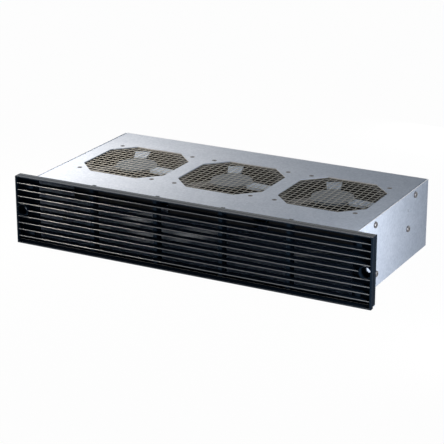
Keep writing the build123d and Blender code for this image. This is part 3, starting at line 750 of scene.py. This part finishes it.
    def ribs(self, size, low, high, ear_y):
        """Upright ribs behind the slats, each with a hook over the edge of the top sheet."""
        made = []
        rib_y = low.y + size.frame_depth
        tail_y = ear_y - OVERCUT
        sunk = size.frame_edge / 2
        hook_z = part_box("top_panel")[1][2] + size.hook_gap
        for index in range(size.ribs):
            x = (index - (size.ribs - 1) / 2) * size.rib_spacing
            left, right = x - size.rib_width / 2, x + size.rib_width / 2
            tail_top = (right, high.y, high.z - size.tail_low)
            made += [
                block("rib", (left, rib_y, low.z + sunk), (right, ear_y, high.z - sunk)),
                block("rib tail", (left, tail_y, low.z + size.tail_low), tail_top),
                block("hook", (left, tail_y, hook_z), (right, ear_y + size.hook, high.z)),
            ]
        return made


class FANTRAY_OT_fasteners(bpy.types.Operator):
    """Zinc plated screws with cross recesses, and their nuts"""

    bl_idname = "fantray.fasteners"
    bl_label = "Fasteners"

    # Share of a pan head's height that its edge rounds, and depth of its cross.
    PAN_ROUND = 0.7
    PAN_DEPTH = 0.62
    # A pan head's edges above this share of its height are its top rim.
    PAN_TOP = 0.9
    # Reach and half width of a cross, as shares of the head's radius.
    PAN_CROSS = (0.58, 0.11)
    FAN_CROSS = (0.62, 0.13)
    INLET_CROSS = (0.6, 0.13)

    def execute(self, context):
        size = settings().screw
        plated = toned("zinc plating", 1200.0, (0.25, 0.35), (0.02, FINE), metallic=0.9)
        dark = toned("dark plating", 1200.0, (0.3, 0.4), (0.02, FINE), metallic=0.3)
        for name in ("cover_screws", "base_screws", "rail_screws"):
            self.side_screws(name, size, plated)
        self.rear_screws("rear_screws", size.head_r, size.rear_head, size.shank_r, plated)
        self.rear_screws("louvre_screws", size.louvre_head_r, size.louvre_head, size.louvre_head, plated)
        self.fan_screws(size, dark)
        self.inlet_screws(size, plated)
        dress(plated, "inlet_nuts", "clinch_nuts")
        return {"FINISHED"}

    def pan_head(self, radius, height, shank_r, length):
        """A pan head on z = 0 with a cross recess, and its shank below."""
        head = drum("head", (0.0, 0.0, height / 2), radius, height, "Z", 32)
        pick(head, "EDGE", lambda at: at.z > height * self.PAN_TOP)
        bpy.ops.mesh.bevel(offset=height * self.PAN_ROUND, segments=5, affect="EDGES")
        reach, half = (share * radius for share in self.PAN_CROSS)
        self.recess(head, reach, half, height, height * self.PAN_DEPTH)
        shank = drum("shank", (0.0, 0.0, -length / 2), shank_r, length, "Z", 16)
        screw = join("screw", [head, shank])
        smooth(screw)
        return screw

    def recess(self, head, reach, half, top, depth):
        """Cuts a cross into a head that ends at z = top."""
        for x, y in ((reach, half), (half, reach)):
            cut(head, block("arm", (-x, -y, top - depth), (x, y, top + OVERCUT)))

    def hand_over(self, screws, name, finish):
        """Gives screws their finish and puts them in place of a CAD node."""
        give(screws, finish)
        settle(screws, TRAY, "zinc_fasteners", name)

    def side_screws(self, name, size, finish):
        """Screws in both sides, in one row or two."""
        low, high = corners(name)
        wall = high.x - size.side_head
        z = (low.z + high.z) / 2
        rows = sorted({round(low.y + size.head_r, 6), round(high.y - size.head_r, 6)})
        places = [
            ((side * wall, y, z), FACING["+X" if side > 0 else "-X"])
            for side in (-1, 1)
            for y in rows
        ]
        screw = self.pan_head(size.head_r, size.side_head, size.shank_r, size.side_length)
        self.hand_over(spread(f"{name}_piece", screw, places), name, finish)

    def rear_screws(self, name, radius, height, shank_r, finish):
        """Screws that face the rear, at the corners of their node's box."""
        low, high = corners(name)
        places = [
            ((x, high.y - height, z), FACING["+Y"])
            for x in (low.x + radius, high.x - radius)
            for z in (low.z + radius, high.z - radius)
        ]
        screw = self.pan_head(radius, height, shank_r, high.y - low.y - height)
        self.hand_over(spread(f"{name}_piece", screw, places), name, finish)

    def fan_screws(self, size, finish):
        """Countersunk screws at the corners of each fan."""
        low, high = corners("fan_screws")
        radius, shank_r = size.fan_head_r, size.fan_shank_r
        depth = radius - shank_r
        deselect()
        bpy.ops.mesh.primitive_cone_add(
            vertices=32, radius1=shank_r, radius2=radius, depth=depth, location=(0.0, 0.0, -depth / 2)
        )
        head = fixed("head")
        reach, half = (share * radius for share in self.FAN_CROSS)
        self.recess(head, reach, half, 0.0, size.cross_depth)
        length = high.z - low.z
        drop = size.fan_shank_drop
        shank = drum("shank", (0.0, 0.0, -(length + drop) / 2), shank_r, length - drop, "Z", 16)
        screw = join("fan screw", [head, shank])
        axes = [sum(corner[0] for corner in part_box(f"fan_frame_{side}")) / 2 for side in SIDES]
        reach = low.x + radius - axes[0]
        places = [
            ((x + turn * reach, y, high.z), FACING["+Z"])
            for x in axes
            for turn in (-1, 1)
            for y in (low.y + radius, high.y - radius)
        ]
        self.hand_over(spread("fan_screws_piece", screw, places), "fan_screws", finish)

    def inlet_screws(self, size, finish):
        """The CAD screws with a cross cut into each head."""
        low, high = corners("inlet_screws")
        radius = (high.z - low.z) / 2
        middle_z = (low.z + high.z) / 2
        reach, half = (share * radius for share in self.INLET_CROSS)
        screws = copy_of("inlet_screws")
        for x in (low.x + radius, high.x - radius):
            for across, up in ((reach, half), (half, reach)):
                arm_low = (x - across, high.y - size.cross_depth, middle_z - up)
                cut(screws, block("arm", arm_low, (x + across, high.y + OVERCUT, middle_z + up)))
        smooth(screws)
        self.hand_over(screws, "inlet_screws", finish)


class FANTRAY_OT_fans(bpy.types.Operator):
    """Guards, castings, motors and impellers of the fans"""

    bl_idname = "fantray.fans"
    bl_label = "Fans"

    def execute(self, context):
        finish = settings().finish
        bars = speckled(
            "guard bars", finish.mesh_steel, 0.8, 900.0, (0.35, 0.5), (0.02, FINE), metallic=0.2,
        )
        cast = self.casting(finish)
        duct = speckled(
            "black casting", finish.duct_black, 0.7, 700.0, (0.4, 0.55), (0.1, COARSE), specular_ior_level=0.1,
        )
        blade = speckled(
            "fan blades", finish.blade_black, 0.8, 1000.0, (0.35, 0.45), (0.05, FINE), specular_ior_level=0.1,
        )
        core = toned("laminations", 900.0, (0.45, 0.6), (0.05, FINE), metallic=0.6)
        steel = toned("ground steel", 1500.0, (0.15, 0.25), (0.02, FINE), metallic=1.0)
        for side in SIDES:
            self.guard(side, bars)
            self.frame(side, duct, cast)
            self.impeller(side, blade)
            dress(core, f"fan_stator_{side}", f"fan_rotor_ring_{side}")
            dress(steel, f"fan_shaft_{side}")
        dress(steel, "fan_bearings")
        return {"FINISHED"}

    def casting(self, finish):
        """Bare struts round a dull motor plate, and the struts in each fan's front-left quarter black like the
        duct.
        """
        shader = Shader("bare casting")
        bare_dark = shade(finish.casting, 0.88)
        colour = shader.grain(finish.casting, bare_dark, 700.0, (0.4, 0.55), (0.1, COARSE))
        low, high = corners("fan_frame_right")
        masks = shader.group(
            motor_group(), pitch=(low.x + high.x) / 2, depth=(low.y + high.y) / 2,
            radius=settings().fan.plate_r,
        )
        for mask, painted in (("Front left quarter", finish.duct_black), ("Plate", finish.plate_grey)):
            tone = shader.add("ShaderNodeMix", data_type="RGBA")
            tone.inputs[7].default_value = rgba(painted)
            shader.join(masks.outputs[mask], tone.inputs["Factor"])
            shader.join(colour, tone.inputs[6])
            colour = tone.outputs[2]
        shader.join(colour, shader.surface.inputs["Base Color"])
        return shader.material

    def frame(self, side, duct, cast):
        """The duct in black, the struts and the motor plate in the casting's finish."""
        name = f"fan_frame_{side}"
        size = settings().fan
        low, high = corners(name)
        axis = (low + high) / 2
        bore = (high.x - low.x) / 2 - size.duct_wall
        slack = 0.2 * MM
        piece = copy_of(name)
        give(piece, duct, cast)
        for face in piece.data.polygons:
            points = (piece.data.vertices[index].co for index in face.vertices)
            inside = all((point - axis).xy.length < bore + slack for point in points)
            face.material_index = int(inside and (face.center - axis).xy.length < bore - size.duct_band)
        soften(piece, settings().edge.casting)
        settle(piece, TRAY, "fan_casting", name)

    def impeller(self, side, blade):
        """Hub and twisted blades with moulded edges."""
        name = f"fan_impeller_{side}"
        piece = copy_of(name)
        give(piece, blade)
        soften(piece, settings().edge.blade)
        settle(piece, f"rotor_{side}", "blade_plastic", name)

    def guard(self, side, bars):
        """Two crossed layers of flattened wire inside an eight-sided rim."""
        name = f"mesh_guard_{side}"
        size = settings().fan
        low, high = corners(name)
        axis = (low + high) / 2
        half = (high.x - low.x) / 2 - size.guard_rim / 2
        count = size.guard_bars
        made = []
        for along, z in (("Y", low.z + size.wire_height / 2), ("X", high.z - size.wire_height / 2)):
            for index in range(count):
                offset = (index - (count - 1) / 2) * size.guard_pitch
                length = 2 * min(half, 2 * half - size.guard_corner - abs(offset))
                place = (axis.x + offset, axis.y, z) if along == "Y" else (axis.x, axis.y + offset, z)
                made.append(self.wire(place, length, along, size))
        made.append(self.rim(low, high, axis, size))
        guard = join(f"{name}_piece", made)
        give(guard, bars)
        settle(guard, TRAY, "mesh_steel", name)

    def wire(self, place, length, axis, size):
        """A wire rolled flat: wider than it is high."""
        wire = drum("wire", place, size.wire_width / 2, length, axis, 10)
        pick(wire, "VERT", lambda at: True)
        flatter = (1.0, 1.0, size.wire_height / size.wire_width)
        bpy.ops.transform.resize(value=flatter, center_override=place)
        smooth(wire, WIRE_SHARP)
        return wire

    def rim(self, low, high, axis, size):
        """Flat eight-sided ring that ends the wires."""
        deselect()
        bpy.ops.mesh.primitive_plane_add(size=high.x - low.x, location=(axis.x, axis.y, low.z))
        rim = fixed("rim")
        pick(rim, "VERT", lambda at: True)
        bpy.ops.mesh.bevel(offset=size.guard_corner, segments=1, affect="VERTICES")
        bpy.ops.mesh.select_all(action="SELECT")
        bpy.ops.mesh.inset(thickness=size.guard_rim, use_even_offset=True)
        bpy.ops.mesh.delete(type="FACE")
        bpy.ops.mesh.select_all(action="SELECT")
        bpy.ops.mesh.extrude_region_move(TRANSFORM_OT_translate={"value": (0.0, 0.0, high.z - low.z)})
        bpy.ops.mesh.select_all(action="SELECT")
        bpy.ops.mesh.normals_make_consistent(inside=False)
        bpy.ops.object.mode_set(mode="OBJECT")
        return rim


class FANTRAY_OT_wiring(bpy.types.Operator):
    """Leads, terminal block, mains inlet and fuse"""

    bl_idname = "fantray.wiring"
    bl_label = "Wiring and inlet"

    def execute(self, context):
        sheath = toned("lead sheath", 900.0, (0.4, 0.5), (0.05, FINE))
        ivory = toned("ivory block", 900.0, (0.35, 0.45), (0.03, FINE))
        black = toned("inlet moulding", 1100.0, (0.3, 0.4), (0.08, FINE))
        metal = toned("plated pins", 1500.0, (0.2, 0.3), (0.02, FINE), metallic=1.0)
        glass = toned("fuse glass", 900.0, (0.05, 0.1), (0.01, FINE), transmission_weight=0.8)
        edge = settings().edge
        for name in ("supply_cores", *[f"fan_lead_{side}" for side in SIDES]):
            self.rounded(name, TRAY, "lead_sheath", sheath, 0.0)
        self.rounded("terminal_block", TRAY, "block_plastic", ivory, edge.block)
        self.rounded("inlet_body", TRAY, "inlet_plastic", black, edge.inlet)
        self.rounded("inlet_pins", TRAY, "pin_brass", metal, edge.pin)
        self.rounded("fuse_drawer", "fuse_holder", "inlet_plastic", black, edge.inlet)
        self.fuse(glass, metal)
        return {"FINISHED"}

    def rounded(self, name, body, slot, finish, edge):
        """A piece with the CAD node's shape and moulded edges, or a smooth one where the edge is 0."""
        piece = copy_of(name)
        give(piece, finish)
        if edge:
            soften(piece, edge)
        else:
            smooth(piece, TUBE_SHARP)
        settle(piece, body, slot, name)

    def fuse(self, glass, metal):
        """Glass tube between metal caps."""
        piece = copy_of("fuse_link")
        give(piece, glass, metal)
        low, high = corners("fuse_link")
        middle_x = (low.x + high.x) / 2
        cap_x = (high.x - low.x) / 4 - 0.2 * MM
        for face in piece.data.polygons:
            face.material_index = int(abs(face.center.x - middle_x) > cap_x)
        soften(piece, settings().edge.fuse)
        settle(piece, "fuse_holder", "fuse_glass", "fuse_link")


class FANTRAY_OT_stage(bpy.types.Operator):
    """Pale floor, soft lamps and the camera"""

    bl_idname = "fantray.stage"
    bl_label = "Stage"

    WHITE = (1.0, 1.0, 1.0, 1.0)

    def execute(self, context):
        look = settings().stage
        scene = context.scene
        scene.view_settings.view_transform = "Standard"
        self.floor(look)
        self.world(scene, look)
        # Name, place, target and size in metres, power and colour.
        for lamp in (
            ("key", (-0.35, -0.12, 0.35), (-0.18, 0.0, 0.08), 0.18, look.key_watts, (1.0, 0.89, 0.78)),
            ("fill", (0.43, -0.19, 0.125), (0.20, -0.07, 0.06), 0.08, look.fill_watts, (1.0, 0.97, 0.96)),
            ("rear", (0.05, 0.62, 0.05), (0.0, 0.11, 0.045), 0.07, look.rear_watts, (1.0, 1.0, 1.0)),
        ):
            self.lamp(*lamp)
        self.camera(scene, look)
        return {"FINISHED"}

    def floor(self, look):
        """A floor that lights the tray as a pale one and shows white, with a trace of the tray's shadow."""
        deselect()
        bpy.ops.mesh.primitive_plane_add(size=12.0, location=(0.0, 0.0, -0.5 * MM))
        floor = bpy.context.object
        floor.name = "floor"
        shader = Shader("pale floor").set(base_color=rgba(look.floor_colour), roughness=0.9)
        plain = shader.surface.outputs["BSDF"]
        white = shader.add("ShaderNodeEmission", Color=self.WHITE, Strength=1.0)
        direct = shader.add("ShaderNodeMixShader", Fac=0.98)
        shader.join(plain, direct.inputs[1])
        shader.join(white.outputs["Emission"], direct.inputs[2])
        seen = by_ray(shader.tree, plain, direct.outputs["Shader"])
        shader.join(seen, shader.tree.nodes["Material Output"].inputs["Surface"])
        give(floor, shader.material)

    def world(self, scene, look):
        """Dim light from all round, before a white background."""
        world = bpy.data.worlds.new("studio")
        scene.world = world
        world.use_nodes = True
        tree = world.node_tree
        ambient = tree.nodes["Background"]
        ambient.inputs["Color"].default_value = rgba(look.ambient_colour)
        ambient.inputs["Strength"].default_value = look.ambient
        white = add_node(tree, "ShaderNodeBackground", Color=self.WHITE, Strength=1.0)
        seen = by_ray(tree, ambient.outputs["Background"], white.outputs["Background"])
        tree.links.new(seen, tree.nodes["World Output"].inputs["Surface"])

    def lamp(self, name, place, target, size, watts, colour):
        """A square lamp that the camera doesn't see."""
        deselect()
        bpy.ops.object.light_add(type="AREA", location=place)
        lamp = bpy.context.object
        lamp.name = name
        lamp.rotation_euler = (Vector(target) - Vector(place)).to_track_quat("-Z", "Y").to_euler()
        lamp.data.size = size
        lamp.data.energy = watts
        lamp.data.color = colour
        lamp.visible_camera = False

    def camera(self, scene, look):
        """The camera, from the front right and above."""
        deselect()
        sight = Vector(look.camera_target) - Vector(look.camera_place)
        turn = sight.to_track_quat("-Z", "Y").to_euler()
        bpy.ops.object.camera_add(location=look.camera_place, rotation=turn)
        camera = bpy.context.object
        camera.data.lens = look.lens
        camera.data.sensor_width = 36.0
        scene.camera = camera


class FANTRAY_PT_sidebar(bpy.types.Panel):
    """Lists the settings and the steps that dress the tray"""

    bl_label = "Fan tray"
    bl_space_type = "VIEW_3D"
    bl_region_type = "UI"
    bl_category = "Fan tray"

    def draw(self, context):
        tray = settings()
        for group in (tray.finish, tray.louvre, tray.screw, tray.fan, tray.edge, tray.stage):
            for key in group.__annotations__:
                self.layout.prop(group, key)
        for step in STEPS:
            self.layout.operator(step.bl_idname)


STEPS = (
    FANTRAY_OT_sheet_metal,
    FANTRAY_OT_louvre,
    FANTRAY_OT_fasteners,
    FANTRAY_OT_fans,
    FANTRAY_OT_wiring,
    FANTRAY_OT_stage,
)
GROUPS = (
    FinishSettings,
    LouvreSettings,
    ScrewSettings,
    FanSettings,
    EdgeSettings,
    StageSettings,
    TraySettings,
)
CLASSES = (*GROUPS, *STEPS, FANTRAY_PT_sidebar)


def register():
    for cls in CLASSES:
        bpy.utils.register_class(cls)
    bpy.types.Scene.fan_tray = PointerProperty(
        name="Fan tray", description="Settings of the fan tray", type=TraySettings
    )


def unregister():
    del bpy.types.Scene.fan_tray
    for cls in reversed(CLASSES):
        bpy.utils.unregister_class(cls)


def main():
    register()
    bpy.ops.fantray.sheet_metal()
    bpy.ops.fantray.louvre()
    bpy.ops.fantray.fasteners()
    bpy.ops.fantray.fans()
    bpy.ops.fantray.wiring()
    bpy.ops.fantray.stage()


if __name__ == "__main__":
    main()
